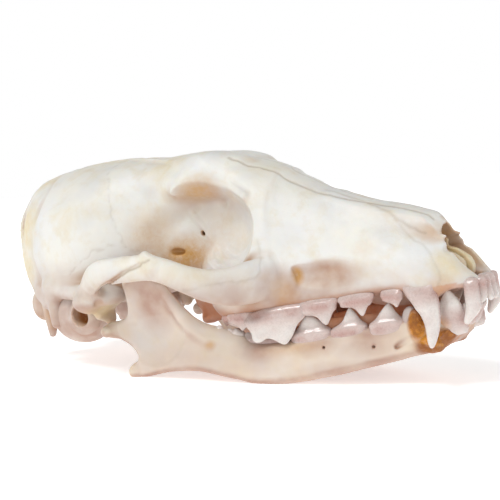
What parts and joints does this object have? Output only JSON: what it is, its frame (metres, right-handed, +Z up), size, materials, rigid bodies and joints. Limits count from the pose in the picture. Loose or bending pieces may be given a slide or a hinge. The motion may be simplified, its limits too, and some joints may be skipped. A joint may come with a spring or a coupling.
{
  "type": "fox skull",
  "caption": "Life-size still model of a red fox skull with its lower jaw in place, teeth nearly closed, lying on the corners and the bend of the jaw.",
  "frame": {"origin": "middle of the skull's footprint, on the surface that the lower jaw rests on", "axes": "+X from the back of the skull to the nose, +Y to the animal's left, +Z up"},
  "size_m": [0.147, 0.0772, 0.0618],
  "materials": {
    "cranium_bone": "bleached dry bone, matte with a faint sheen",
    "jaw_bone": "dry bone, slightly pinker and smoother",
    "enamel": "tooth enamel, glossy, pinkish white with amber stains at the canines"
  },
  "bodies": {
    "root": {"braincase": "cranium_bone", "forehead": "cranium_bone", "snout": "cranium_bone", "zygomatic_arch_left": "cranium_bone", "zygomatic_arch_right": "cranium_bone", "auditory_bulla_left": "cranium_bone", "auditory_bulla_right": "cranium_bone", "mandible_left": "jaw_bone", "mandible_right": "jaw_bone"}
  },
  "joints": []
}
